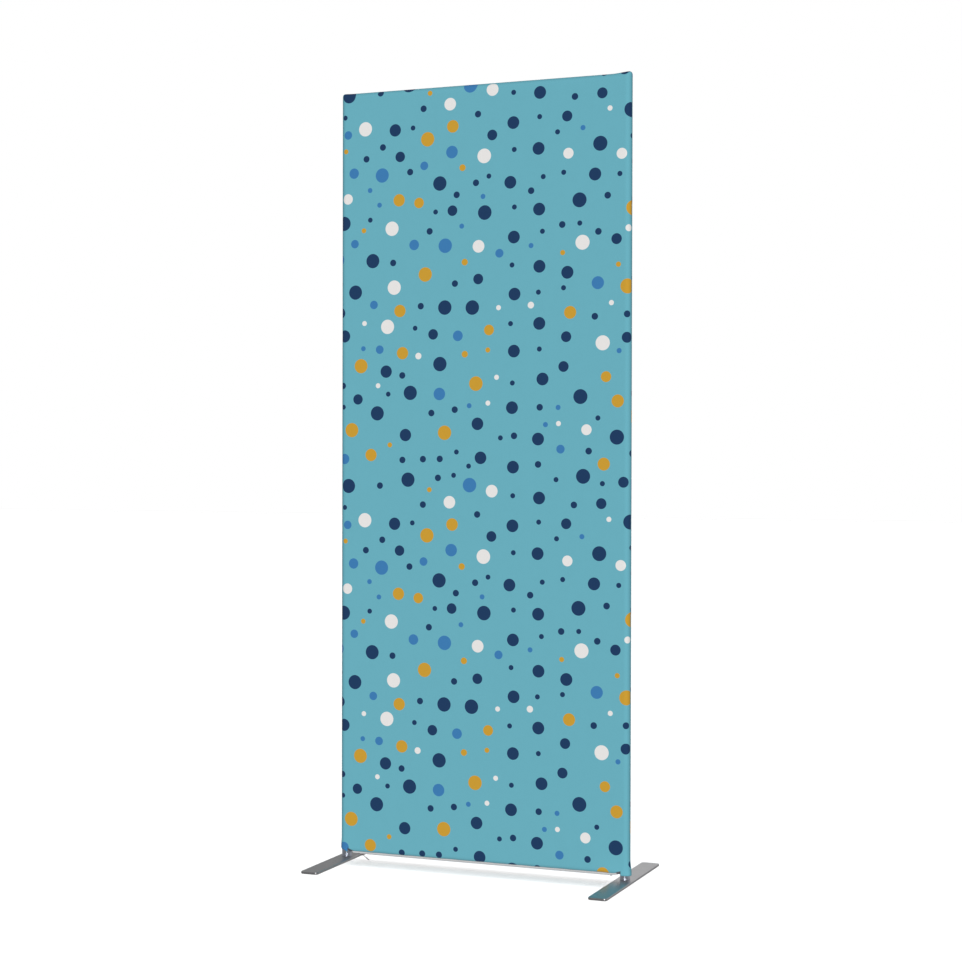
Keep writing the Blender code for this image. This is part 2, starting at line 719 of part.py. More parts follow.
def slider_section():
    """(y, depth) points: a plate above the tapes, a neck between the coils and a channel round them below."""
    plate_half, plate_top, plate_bottom = 0.0034, 0.01305, 0.01405
    neck_half = 0.0008
    channel_half, channel_top, channel_floor = 0.0031, 0.0156, 0.0172
    half = [
        (plate_half, plate_top),
        (plate_half, plate_bottom),
        (neck_half, plate_bottom),
        (neck_half, channel_floor),
        (channel_half, channel_floor),
        (channel_half, channel_top),
        (SLIDER_HALF_WIDTH, channel_top),
        (SLIDER_HALF_WIDTH, SLIDER_BOTTOM),
    ]
    return half + [(-y, depth) for y, depth in half[::-1]]


def make_slider(materials):
    """The slider with two cheeks below it that hold the pull's pin."""
    outline = [(-SLIDER_LENGTH / 2, y, BOTTOM_RAIL_Z - depth) for y, depth in slider_section()]
    slider = add_object(
        "zip_slider",
        mesh_of("zip_slider", extruded(outline, (SLIDER_LENGTH, 0, 0)), materials["zip_metal"]),
        Matrix.Translation((SLIDER_X, 0, 0)),
    )
    pin_end = (CHEEK_INNER + CHEEK_OUTER) / 2
    pin = rod(PULL_PIN_RADIUS, -pin_end, pin_end, 12)
    pin_place = frame_at(Vector((PULL_PIN_X, 0, BOTTOM_RAIL_Z - PULL_PIN_DEPTH)), Vector((0, 1, 0)), UP)
    helpers = [("slider_pin", pin, pin_place)]
    for name, sign in (("front", -1), ("rear", 1)):
        near, far = sorted((sign * CHEEK_INNER, sign * CHEEK_OUTER))
        top = BOTTOM_RAIL_Z - SLIDER_BOTTOM + OVERRUN / 2
        cheek = block(
            (-CHEEK_HALF_LENGTH, near, BOTTOM_RAIL_Z - CHEEK_BOTTOM), (CHEEK_HALF_LENGTH, far, top)
        )
        helpers.insert(0, (f"slider_cheek_{name}", cheek, Matrix.Translation((PULL_PIN_X, 0, 0))))
    for name, shape, place in helpers:
        boolean(slider, add_helper(name, mesh_of(name, shape, materials["zip_metal"]), place), "UNION")
    carrier = pivot("zip_slide", (SLIDER_X, 0, BOTTOM_RAIL_Z - SLIDER_BOTTOM))
    carry(carrier, [slider])
    return carrier


def pull_outline():
    """(along, across) points of the pull's tab: a narrow neck that widens to a round end."""
    neck_half, tip_half = 0.0012, 0.0030
    neck_start, neck_end, shoulder, shoulder_half = 0.0006, 0.004, 0.009, 0.0020
    side = [(neck_start, neck_half), (neck_end, neck_half), (shoulder, shoulder_half)]
    tip = [(PULL_LENGTH - tip_half + x, y) for x, y in arc(tip_half, -math.pi / 2, math.pi / 2, 8)]
    return [(x, -y) for x, y in side] + tip + side[::-1]


def make_pull(carrier, materials):
    """The pull: an eye round the slider's pin, and its tab."""
    eye_radius, eye_bore, eye_half = 0.0013, 0.00085, 0.0012
    pin = Matrix.Translation((PULL_PIN_X, 0, BOTTOM_RAIL_Z - PULL_PIN_DEPTH))
    place = pin @ Matrix.Rotation(PULL_SLOPE, 4, "Y")
    bm = extruded([(x, y, -PULL_THICKNESS / 2) for x, y in pull_outline()], (0, 0, PULL_THICKNESS))
    pull = add_object("zip_pull", mesh_of("zip_pull", bm, materials["zip_metal"]), place)
    lie_across = Matrix.Rotation(-math.pi / 2, 4, "X")
    for name, radius, half, operation in (
        ("pull_eye", eye_radius, eye_half, "UNION"),
        ("pull_bore", eye_bore, eye_half + OVERRUN, "DIFFERENCE"),
    ):
        shape = mesh_of(name, rod(radius, -half, half, 16), materials["zip_metal"])
        boolean(pull, add_helper(name, shape, place @ lie_across), operation)
    carry(pivot("zip_pull_hinge", place.translation, parent=carrier), [pull])


def make_zip(materials):
    for name, sign in (("front", -1), ("back", 1)):
        make_tape(f"zip_tape_{name}", sign, materials)
        make_coil(f"zip_coil_{name}", sign, materials)
    for side, sign in SIDE_SIGN.items():
        make_stop(f"zip_stop_{side}", sign, materials)
    carrier = make_slider(materials)
    make_pull(carrier, materials)


def main():
    clear_scene()
    materials = make_materials()
    for side in SIDE_SIGN:
        make_foot(side, materials)
    make_frame(materials)
    make_cover(materials)
    make_zip(materials)


main()
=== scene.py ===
"""The looks of a free-standing partition wall: a printed cover over a tube frame on two flat feet."""

import json
import math
import random

import bmesh
import bpy
import numpy as np
from mathutils import Matrix, Vector


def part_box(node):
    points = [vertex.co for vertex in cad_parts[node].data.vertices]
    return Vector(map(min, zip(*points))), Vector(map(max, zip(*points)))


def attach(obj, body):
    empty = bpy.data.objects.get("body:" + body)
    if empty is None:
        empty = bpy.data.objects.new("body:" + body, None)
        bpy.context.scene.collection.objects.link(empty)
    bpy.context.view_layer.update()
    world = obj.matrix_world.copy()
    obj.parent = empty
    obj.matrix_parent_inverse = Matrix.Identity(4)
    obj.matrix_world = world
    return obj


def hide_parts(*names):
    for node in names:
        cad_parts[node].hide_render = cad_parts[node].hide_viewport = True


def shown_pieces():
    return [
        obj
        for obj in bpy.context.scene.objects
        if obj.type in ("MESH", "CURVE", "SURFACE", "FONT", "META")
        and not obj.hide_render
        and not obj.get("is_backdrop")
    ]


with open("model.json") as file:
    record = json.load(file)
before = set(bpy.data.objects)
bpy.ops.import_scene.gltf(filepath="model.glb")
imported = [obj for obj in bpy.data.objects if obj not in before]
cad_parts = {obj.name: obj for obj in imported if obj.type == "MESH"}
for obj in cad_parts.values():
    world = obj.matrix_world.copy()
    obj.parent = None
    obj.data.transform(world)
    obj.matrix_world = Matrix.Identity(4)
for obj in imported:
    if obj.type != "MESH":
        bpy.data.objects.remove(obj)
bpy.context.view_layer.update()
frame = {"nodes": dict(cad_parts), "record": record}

ROOT = "frame_and_cover"

# Sizes that the cover shares with the frame, in metres
FABRIC = 0.0006
GAP = 0.0003
COVER_LOW, COVER_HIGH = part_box("cover_front")
COVER_RADIUS = -COVER_LOW.y
UPRIGHT_X = COVER_HIGH.x - COVER_RADIUS
TOP_RAIL_Z = COVER_HIGH.z - COVER_RADIUS
RAIL_LOW, RAIL_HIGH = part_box("bottom_rail")
BOTTOM_RAIL_Z = (RAIL_LOW.z + RAIL_HIGH.z) / 2
COVER_BOTTOM = COVER_LOW.z
HEM_END = 0.008
LIP_HALF = UPRIGHT_X - HEM_END
LIP_ANGLE = math.radians(44)
CORNER_POWER = 4
EDGE_ARC = COVER_RADIUS * math.pi / 2

# The cover's mesh. The steps round an edge get shorter towards the seam.
CELL = 0.006
EDGE_STEPS = 9
EDGE_CROWDING = 1.4
LIP_STEPS = 4
CORNER_STEPS = 8
SEAM_DIP = 0.0005

# Where the cover stands off its frame. The lower corners do so below LOW_TOP.
LOW_TOP = 0.060
TOP_RIGHT_LIFT = 0.0040
TOP_LEFT_LIFT = 0.0010
LOW_RIGHT_FLARE = 0.0034
LOW_LEFT_BULGE = 0.0016
LOW_LEFT_LIFT = 0.0070
HEM_WAVE = 0.0004

# The print: round dots in four colours on a teal ground, with a repeat up the wall
GROUND = (0.144, 0.440, 0.533)
DOT_COLOURS = {
    "navy": (0.0097, 0.0409, 0.1144),
    "white": (0.830, 0.815, 0.800),
    "blue": (0.045, 0.202, 0.456),
    "ochre": (0.610, 0.337, 0.032),
}
DOT_DIAMETERS = (0.013, 0.017, 0.022, 0.027, 0.032, 0.037)
DOT_MIX = {
    "navy": (6, 9, 0, 4, 2, 5),
    "white": (3, 1, 0, 1, 1, 2),
    "blue": (3, 0, 2, 1, 1, 1),
    "ochre": (2, 1, 0, 1, 2, 2),
}
DOTS_PER_SQUARE_METRE = 250
PRINT_REPEAT = 1.015
SEEDS = {"front": 11, "back": 23}
SIDES = (("front", -1), ("back", 1))
LEAST_DOT_GAP = 0.0145
DOT_TRIES = 14
DOT_FEATHER = 0.0006
NAVY_COLUMNS = (0.085, 0.160)
COLUMN_SPACING = 0.070
COLUMN_WANDER = 0.007
WALE = 0.0009
COURSE = 0.0007

# The zip and the hem's stitches
TAPE_HALF = 0.362
TAPE_THICKNESS = FABRIC * 0.8
TAPE_TURNS = [math.radians(turn) for turn in (46, 50, 54)]
COIL_HALF = 0.3435
COIL_PITCH = 0.0015
COIL_WIRE = 0.00027
COIL_REACH = 0.00125
COIL_DROP = 0.00050
COIL_DEPTH = 0.0162
COIL_STEPS = 8
WIRE_SIDES = 6
STITCH_LENGTH = 0.0028
STITCH_PITCH = 0.0036
STITCH_THREAD = 0.00022
STITCH_TURN = LIP_ANGLE - math.radians(9)
STITCH_HALF = LIP_HALF - 0.024

# The stage
CAMERA_PLACE = (1.8226, -4.542, 1.037)
CAMERA_YAW = 0.3825
CAMERA_PITCH = -0.0092
CAMERA_ROLL = 0.0022
CAMERA_LENS = 72.0
FLOOR_HALF = 30
FLAG_LEFT, FLAG_RIGHT = -3.0, -0.55
FLAG_BEHIND = 0.6
FLAG_HEIGHT = 0.7
CARD_WIDTH = 0.026
CARD_HEIGHT = 0.115
CARD_MIDDLE = -0.031


# Materials

def material_tree(name):
    material = bpy.data.materials.new(name)
    material.use_nodes = True
    tree = material.node_tree
    return material, tree, tree.nodes["Principled BSDF"]


def node(tree, kind, inputs=(), **settings):
    """Adds a node. Inputs pairs a socket's name or index with a value or with another node's output."""
    made = tree.nodes.new(kind)
    for key, value in settings.items():
        setattr(made, key, value)
    for key, value in dict(inputs).items():
        if isinstance(value, bpy.types.NodeSocket):
            tree.links.new(value, made.inputs[key])
        else:
            made.inputs[key].default_value = value
    return made


def math_node(tree, operation, *values):
    return node(tree, "ShaderNodeMath", dict(enumerate(values)), operation=operation).outputs[0]


def mix_colours(tree, share, near, far, blend="MIX"):
    made = node(tree, "ShaderNodeMix", {0: share, 6: near, 7: far}, data_type="RGBA", blend_type=blend)
    return made.outputs[2]


def mix_values(tree, share, near, far):
    return node(tree, "ShaderNodeMix", {0: share, 2: near, 3: far}, data_type="FLOAT").outputs[0]


def ramp(tree, value, start, end, low, high):
    inputs = {"Value": value, "From Min": start, "From Max": end, "To Min": low, "To Max": high}
    return node(tree, "ShaderNodeMapRange", inputs).outputs[0]


def noise(tree, vector, scale, detail=3.0, roughness=0.5):
    inputs = {"Vector": vector, "Scale": scale, "Detail": detail, "Roughness": roughness}
    return node(tree, "ShaderNodeTexNoise", inputs).outputs["Fac"]


def object_coordinates(tree, stretch=(1, 1, 1)):
    """The place on the piece, with some axes drawn out so that a pattern runs along them."""
    place = node(tree, "ShaderNodeTexCoord").outputs["Object"]
    return node(tree, "ShaderNodeMapping", {"Vector": place, "Scale": stretch}).outputs[0]


def add_bump(tree, shader, height, distance, strength):
    bump = node(tree, "ShaderNodeBump", {"Height": height, "Distance": distance, "Strength": strength})
    tree.links.new(bump.outputs[0], shader.inputs["Normal"])


def remap(tree, value, low, high):
    return ramp(tree, value, 0, 1, low, high)


def varied(tree, colour, amount, vector, scale):
    """A colour that wanders a little lighter and darker over the surface."""
    share = noise(tree, vector, scale)
    dark = (*[c * (1 - amount) for c in colour], 1)
    light = (*[min(c * (1 + amount), 1) for c in colour], 1)
    return mix_colours(tree, share, dark, light)


def knit_height(tree, vector):
    """The relief of a fine knit: upright wales of slanting stitches."""
    across, up, _ = node(tree, "ShaderNodeSeparateXYZ", {0: vector}).outputs
    wales = math_node(tree, "PINGPONG", math_node(tree, "DIVIDE", across, WALE), 0.5)
    slanted = math_node(tree, "ADD", math_node(tree, "DIVIDE", up, COURSE), wales)
    courses = math_node(tree, "PINGPONG", slanted, 0.5)
    return math_node(tree, "MULTIPLY", math_node(tree, "MULTIPLY", wales, courses), 4.0)


def printed_fabric():
    """Knitted polyester with printed dots. Each face knows its nearest dot's centre, radius and ink."""
    material, tree, shader = material_tree("printed_fabric")
    place = node(tree, "ShaderNodeAttribute", attribute_name="print_place").outputs["Vector"]
    dot = node(tree, "ShaderNodeAttribute", attribute_name="print_dot").outputs["Vector"]
    ink = node(tree, "ShaderNodeAttribute", attribute_name="print_ink").outputs["Color"]
    across, up, radius = node(tree, "ShaderNodeSeparateXYZ", {0: dot}).outputs
    centre = node(tree, "ShaderNodeCombineXYZ", {0: across, 1: up}).outputs[0]
    distance = node(tree, "ShaderNodeVectorMath", {0: place, 1: centre}, operation="DISTANCE")
    bleed = math_node(tree, "MULTIPLY", noise(tree, place, 900), DOT_FEATHER)
    feathered = math_node(tree, "ADD", distance.outputs["Value"], bleed)
    inside = math_node(tree, "SUBTRACT", math_node(tree, "ADD", radius, DOT_FEATHER), feathered)
    edge = {"Value": inside, "From Min": 0.0, "From Max": DOT_FEATHER}
    mask = node(tree, "ShaderNodeMapRange", edge, interpolation_type="SMOOTHSTEP").outputs[0]
    printed = mix_colours(tree, mask, (*GROUND, 1), ink)

    height = knit_height(tree, place)
    thread = remap(tree, height, 0.93, 1.04)
    cloud = remap(tree, noise(tree, place, 35), 0.985, 1.015)
    shade = math_node(tree, "MULTIPLY", thread, cloud)
    grey = node(tree, "ShaderNodeCombineColor", {0: shade, 1: shade, 2: shade}).outputs[0]
    colour = mix_colours(tree, 1.0, printed, grey, "MULTIPLY")
    tree.links.new(colour, shader.inputs["Base Color"])
    tree.links.new(remap(tree, height, 0.92, 0.80), shader.inputs["Roughness"])
    shader.inputs["Specular IOR Level"].default_value = 0.2
    shader.inputs["Sheen Weight"].default_value = 0.05
    shader.inputs["Sheen Roughness"].default_value = 0.5
    add_bump(tree, shader, height, 0.0002, 0.5)
    return material


def woven_tape(name, colour):
    """A herringbone woven tape."""
    material, tree, shader = material_tree(name)
    place = object_coordinates(tree)
    along, across, up = node(tree, "ShaderNodeSeparateXYZ", {0: place}).outputs
    around = math_node(tree, "ADD", across, up)
    chevron = math_node(tree, "PINGPONG", math_node(tree, "DIVIDE", around, 0.0024), 0.5)
    slanted = math_node(tree, "ADD", math_node(tree, "DIVIDE", along, 0.0007), chevron)
    height = math_node(tree, "PINGPONG", slanted, 0.5)
    thread = remap(tree, height, 0.80, 1.10)
    grey = node(tree, "ShaderNodeCombineColor", {0: thread, 1: thread, 2: thread}).outputs[0]
    ground = varied(tree, colour, 0.05, place, 60)
    tree.links.new(mix_colours(tree, 1.0, ground, grey, "MULTIPLY"), shader.inputs["Base Color"])
    shader.inputs["Roughness"].default_value = 0.85
    shader.inputs["Sheen Weight"].default_value = 0.1
    add_bump(tree, shader, height, 0.00015, 0.6)
    return material


def brushed_metal(name, colour, roughness, stretch):
    """Satin metal with fine lines along its drawn-out axis, faint smudges and a little wear."""
    material, tree, shader = material_tree(name)
    plain = object_coordinates(tree)
    lines = noise(tree, object_coordinates(tree, stretch), 900, 4.0, 0.6)
    smudges = noise(tree, plain, 28, 4.0, 0.6)
    tone = varied(tree, colour, 0.09, plain, 45)
    streak = remap(tree, lines, 0.93, 1.07)
    grey = node(tree, "ShaderNodeCombineColor", {0: streak, 1: streak, 2: streak}).outputs[0]
    tree.links.new(mix_colours(tree, 1.0, tone, grey, "MULTIPLY"), shader.inputs["Base Color"])
    spread = math_node(tree, "MULTIPLY", math_node(tree, "ADD", lines, smudges), 0.10)
    tree.links.new(math_node(tree, "ADD", spread, roughness - 0.10), shader.inputs["Roughness"])
    shader.inputs["Metallic"].default_value = 1.0
    add_bump(tree, shader, lines, 0.00004, 0.35)
    return material


def cast_metal(name, colour, roughness):
    """Tumbled casting: a fine pebbled skin."""
    material, tree, shader = material_tree(name)
    place = object_coordinates(tree)
    pebbles = noise(tree, place, 1400, 3.0, 0.55)
    tree.links.new(varied(tree, colour, 0.05, place, 120), shader.inputs["Base Color"])
    tree.links.new(remap(tree, pebbles, roughness - 0.06, roughness + 0.08), shader.inputs["Roughness"])
    shader.inputs["Metallic"].default_value = 1.0
    add_bump(tree, shader, pebbles, 0.00006, 0.5)
    return material


def moulded(name, colour, roughness, scale, depth):
    """Rubber or nylon: not metallic, with a fine moulded grain."""
    material, tree, shader = material_tree(name)
    place = object_coordinates(tree)
    grain = noise(tree, place, scale, 2.0)
    tree.links.new(varied(tree, colour, 0.08, place, 200), shader.inputs["Base Color"])
    tree.links.new(remap(tree, grain, roughness - 0.05, roughness + 0.10), shader.inputs["Roughness"])
    add_bump(tree, shader, grain, depth, 0.5)
    return material


MATERIALS = {
    "foot_steel": brushed_metal("foot_steel", (0.38, 0.38, 0.39), 0.30, (1.5, 0.04, 1.5)),
    "pin_steel": brushed_metal("pin_steel", (0.56, 0.56, 0.57), 0.28, (0.1, 0.1, 3)),
    "spring_steel": brushed_metal("spring_steel", (0.46, 0.46, 0.48), 0.26, (3, 3, 0.1)),
    "tube_aluminium": brushed_metal("tube_aluminium", (0.75, 0.76, 0.78), 0.34, (2, 2, 0.06)),
    "rail_aluminium": brushed_metal("rail_aluminium", (0.75, 0.76, 0.78), 0.34, (0.06, 2, 2)),
    "cast_aluminium": cast_metal("cast_aluminium", (0.57, 0.61, 0.70), 0.38),
    "pad_rubber": moulded("pad_rubber", (0.028, 0.028, 0.030), 0.75, 1500, 0.00008),
    "zip_tape": woven_tape("zip_tape", (0.90, 0.92, 0.93)),
    "zip_nylon": moulded("zip_nylon", (0.58, 0.59, 0.61), 0.38, 3000, 0.00002),
    "zip_metal": brushed_metal("zip_metal", (0.60, 0.57, 0.58), 0.27, (0.25, 3, 3)),
    "printed_fabric": printed_fabric(),
    "thread": woven_tape("thread", (0.22, 0.45, 0.52)),
}


# Carried-over frame pieces

def finish_frame_nodes():
    """Gives each piece of the frame its material, and a softened edge to those that can be seen."""
    slots = {part["node"]: part["material_slot"] for part in frame["record"]["subparts"]}
    seen = ("foot_plate", "foot_pad", "foot_screw", "bottom_connector", "zip_slider", "zip_pull", "zip_stop")
    for name, obj in frame["nodes"].items():
        finish = "rail_aluminium" if name.endswith("_rail") else slots[name]
        obj.data.materials.clear()
        obj.data.materials.append(MATERIALS[finish])
        if name.startswith(seen):
            soften(obj, 0.0002 if name.startswith("zip") else 0.0004)


def soften(obj, width):
    """Welds the facets, rounds the sharp edges slightly and shades the flat faces flat."""
    weld = obj.modifiers.new("weld", "WELD")
    weld.merge_threshold = 1e-6
    bevel = obj.modifiers.new("soft edges", "BEVEL")
    bevel.width = width
    bevel.segments = 2
    bevel.limit_method = "ANGLE"
    bevel.angle_limit = math.radians(45)
    normals = obj.modifiers.new("normals", "WEIGHTED_NORMAL")
    normals.weight = 100
    normals.keep_sharp = False


# The print

def scatter_dots(seed):
    """(across, up, radius, ink) of one repeat's dots. The largest come first, each in a wide gap."""
    draw = random.Random(seed)
    half = UPRIGHT_X + EDGE_ARC
    dots = []
    for column in NAVY_COLUMNS:
        count = round(PRINT_REPEAT / COLUMN_SPACING)
        for i in range(count):
            diameter = DOT_DIAMETERS[4] if i % 2 else draw.choice(DOT_DIAMETERS[:2])
            up = (i + draw.uniform(-0.12, 0.12)) * PRINT_REPEAT / count + column
            across = column + draw.uniform(-COLUMN_WANDER, COLUMN_WANDER)
            dots.append((across, up % PRINT_REPEAT, diameter / 2, "navy"))
    wanted = round(DOTS_PER_SQUARE_METRE * 2 * half * PRINT_REPEAT) - len(dots)
    mix = [
        (diameter / 2, ink)
        for ink, counts in DOT_MIX.items()
        for diameter, count in zip(DOT_DIAMETERS, counts)
        for _ in range(count)
    ]
    draw.shuffle(mix)
    chosen = (mix * math.ceil(wanted / len(mix)))[:wanted]
    for radius, ink in sorted(chosen, key=lambda dot: -dot[0]):
        best = None
        for _ in range(DOT_TRIES):
            across, up = draw.uniform(-half, half), draw.uniform(0, PRINT_REPEAT)
            gap = min(dot_gap(across, up, radius, other) for other in dots)
            if best is None or gap > best[0]:
                best = (gap, across, up)
        if best[0] >= LEAST_DOT_GAP:
            dots.append((best[1], best[2], radius, ink))
    return dots


def dot_gap(across, up, radius, other):
    """The gap between a dot's edge and another's, with the print repeating upwards."""
    rise = abs(up - other[1])
    rise = min(rise, PRINT_REPEAT - rise)
    return math.hypot(across - other[0], rise) - radius - other[2]


def print_dots(mesh, seed):
    """Stores each face's nearest dot on it."""
    dots = [
        (across, up + turn * PRINT_REPEAT, radius, *DOT_COLOURS[ink])
        for across, up, radius, ink in scatter_dots(seed)
        for turn in (-1, 0, 1, 2)
    ]
    dots = np.array(dots)
    places = np.empty(len(mesh.vertices) * 3, np.float32)
    mesh.attributes["print_place"].data.foreach_get("vector", places)
    places = places.reshape(-1, 3)[:, :2]
    centres = np.array([places[list(face.vertices)].mean(0) for face in mesh.polygons])
    away = np.hypot(
        centres[:, None, 0] - dots[None, :, 0], centres[:, None, 1] - dots[None, :, 1]
    ) - dots[None, :, 2]
    nearest = dots[away.argmin(axis=1)]
    dot = mesh.attributes.new("print_dot", "FLOAT_VECTOR", "FACE")
    dot.data.foreach_set("vector", nearest[:, :3].astype(np.float32).ravel())
    ink = mesh.attributes.new("print_ink", "FLOAT_COLOR", "FACE")
    colours = np.hstack([nearest[:, 3:], np.ones((len(nearest), 1))])
    ink.data.foreach_set("color", colours.astype(np.float32).ravel())


# The cover

def smooth_step(value, start, end):
    share = min(max((value - start) / (end - start), 0.0), 1.0)
    return share * share * (3 - 2 * share)


def spaced(start, end, step):
    count = max(round(abs(end - start) / step), 1)
    return [start + i * (end - start) / count for i in range(count + 1)]


def corner_out(turn):
    """The direction and reach of a top corner, which is squarer than a round one."""
    squared = abs(math.cos(turn)) ** CORNER_POWER + abs(math.sin(turn)) ** CORNER_POWER
    reach = squared ** (-1 / CORNER_POWER)
    return reach * math.cos(turn), reach * math.sin(turn)


def lip_end(x):
    """How far round the rail the lip reaches. It rises at its ends, where it stops short of the upright."""
    rise = smooth_step(abs(x), LIP_HALF - 0.020, LIP_HALF)
    return LIP_ANGLE * (1 - 0.75 * rise)


def edge_section(sign):
    """(out, y, arc) steps from the flat face round to the seam, which dips in slightly."""
    steps = []
    for i in range(EDGE_STEPS + 1):
        share = i / EDGE_STEPS
        turn = math.pi / 2 * (1 - (1 - share) ** EDGE_CROWDING)
        dip = SEAM_DIP * smooth_step(turn, math.radians(78), math.pi / 2)
        out = (COVER_RADIUS - dip) * math.sin(turn)
        steps.append((out, sign * max(COVER_RADIUS * math.cos(turn), GAP / 2), COVER_RADIUS * turn))
    return steps


def edge_stations(heights, columns):
    """(base x, base z, out x, out z) round the edge, from the lower left corner to the lower right."""
    stations = [(-UPRIGHT_X, z, -1, 0) for z in heights]
    for side, start, end in ((-1, math.pi, math.pi / 2), (1, math.pi / 2, 0)):
        for i in range(CORNER_STEPS + 1):
            turn = start + i * (end - start) / CORNER_STEPS
            stations.append((side * UPRIGHT_X, TOP_RAIL_Z, *corner_out(turn)))
        if side < 0:
            stations += [(x, TOP_RAIL_Z, 0, 1) for x in columns[1:-1]]
    return stations + [(UPRIGHT_X, z, 1, 0) for z in reversed(heights)]


def cover_patches(sign):
    """Grids of (place, print place) that meet along their edges: face, lip, hems beside it, and edge."""
    inner = spaced(-LIP_HALF, LIP_HALF, CELL)
    hem = spaced(LIP_HALF, UPRIGHT_X, CELL / 2)
    columns = [-x for x in reversed(hem[1:])] + inner + hem[1:]
    heights = spaced(BOTTOM_RAIL_Z, TOP_RAIL_Z, CELL)
    hem_heights = spaced(COVER_BOTTOM, BOTTOM_RAIL_Z, CELL / 2)
    y = sign * COVER_RADIUS

    yield [[((x, y, z), (x, z)) for x in columns] for z in heights]
    lip = []
    for i in range(LIP_STEPS + 1):
        row = []
        for x in inner:
            turn = lip_end(x) * i / LIP_STEPS
            place = (x, y * math.cos(turn), BOTTOM_RAIL_Z - COVER_RADIUS * math.sin(turn))
            row.append((place, (x, BOTTOM_RAIL_Z - COVER_RADIUS * turn)))
        lip.append(row)
    yield lip
    for side in (-1, 1):
        yield [[((side * x, y, z), (side * x, z)) for x in hem] for z in hem_heights]
    section = edge_section(sign)
    yield [
        [
            ((x + out * out_x, depth, z + out * out_z), (x + arc * out_x, z + arc * out_z))
            for out, depth, arc in section
        ]
        for x, z, out_x, out_z in edge_stations(hem_heights[:-1] + heights, columns)
    ]


def settle(place):
    """The small ways in which the cover leaves its frame: corners that stand proud and a wavy hem."""
    x, y, z = place
    top = smooth_step(z, TOP_RAIL_Z - 0.015, TOP_RAIL_Z + COVER_RADIUS)
    z += TOP_RIGHT_LIFT * top * smooth_step(x, UPRIGHT_X - 0.060, UPRIGHT_X + COVER_RADIUS) ** 2
    z += TOP_LEFT_LIFT * top * smooth_step(-x, UPRIGHT_X - 0.030, UPRIGHT_X + COVER_RADIUS) ** 2
    out = smooth_step(abs(x), UPRIGHT_X - 0.004, UPRIGHT_X + COVER_RADIUS)
    low = smooth_step(-z, -LOW_TOP, -COVER_BOTTOM)
    if x > 0:
        x += LOW_RIGHT_FLARE * out * low
    else:
        bulge = smooth_step(-z, -LOW_TOP, -0.033) * (1 - smooth_step(-z, -0.030, -COVER_BOTTOM))
        x -= LOW_LEFT_BULGE * out * bulge
    hem = smooth_step(-z, -0.032, -COVER_BOTTOM)
    z += HEM_WAVE * hem * math.sin(x * 95) * math.sin(x * 31 + 1)
    z += LOW_LEFT_LIFT * hem * smooth_step(-x, LIP_HALF - 0.004, UPRIGHT_X + 0.006)
    return x, y, z


def fill_grid(bm, grid):
    for near, far in zip(grid, grid[1:]):
        for i in range(len(near) - 1):
            bm.faces.new((near[i], near[i + 1], far[i + 1], far[i]))


def make_cover_half(name, sign, seed):
    bm = bmesh.new()
    layer = bm.verts.layers.float_vector.new("print_place")
    for patch in cover_patches(sign):
        grid = []
        for row in patch:
            verts = []
            for place, flat in row:
                vert = bm.verts.new(place)
                vert[layer] = (*flat, 0)
                verts.append(vert)
            grid.append(verts)
        fill_grid(bm, grid)
    bmesh.ops.remove_doubles(bm, verts=bm.verts, dist=1e-6)
    bmesh.ops.recalc_face_normals(bm, faces=bm.faces)
    bm.faces.ensure_lookup_table()
    if bm.faces[0].normal.y * sign < 0:
        bmesh.ops.reverse_faces(bm, faces=bm.faces)
    for vert in bm.verts:
        vert.co = settle(vert.co)
    mesh = smooth_mesh(name, bm, "printed_fabric")
    print_dots(mesh, seed)
    piece = add_piece(f"{name}_cloth", mesh, "printed_fabric", name)
    thicken(piece, FABRIC, -1).use_even_offset = True


def smooth_mesh(name, bm, finish):
    mesh = bpy.data.meshes.new(name)
    bm.to_mesh(mesh)
    bm.free()
    mesh.shade_smooth()
    mesh.materials.append(MATERIALS[finish])
    return mesh


def add_piece(name, mesh, slot, *nodes):
    piece = bpy.data.objects.new(name, mesh)
    bpy.context.scene.collection.objects.link(piece)
    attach(piece, ROOT)
    if nodes:
        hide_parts(*nodes)
    return piece


def thicken(piece, thickness, offset):
    """Gives a sheet its thickness: inwards with an offset of -1, both ways with 0."""
    solid = piece.modifiers.new("thickness", "SOLIDIFY")
    solid.thickness = thickness
    solid.offset = offset
    return solid


# Zip and stitching

def tape_section():
    """(y, depth under the rail's axis) from the lip down to the middle of the zip."""
    radius = COVER_RADIUS - FABRIC / 2
    round_part = [(radius * math.cos(turn), radius * math.sin(turn)) for turn in TAPE_TURNS]
    return round_part + [(0.0067, 0.0126), (0.0056, 0.0138), (0.0045, 0.0146), (0.0014, 0.0149)]


def make_tape(name, sign):
    section = tape_section()
    bm = bmesh.new()
    grid = [
        [bm.verts.new((x, sign * y, BOTTOM_RAIL_Z - depth)) for y, depth in section]
        for x in spaced(-TAPE_HALF, TAPE_HALF, CELL / 2)
    ]
    fill_grid(bm, grid)
    bmesh.ops.recalc_face_normals(bm, faces=bm.faces)
    piece = add_piece(f"{name}_cloth", smooth_mesh(name, bm, "zip_tape"), "zip_tape", name)
    thicken(piece, TAPE_THICKNESS, 0)
    width = sum(math.dist(near, far) for near, far in zip(section, section[1:]))


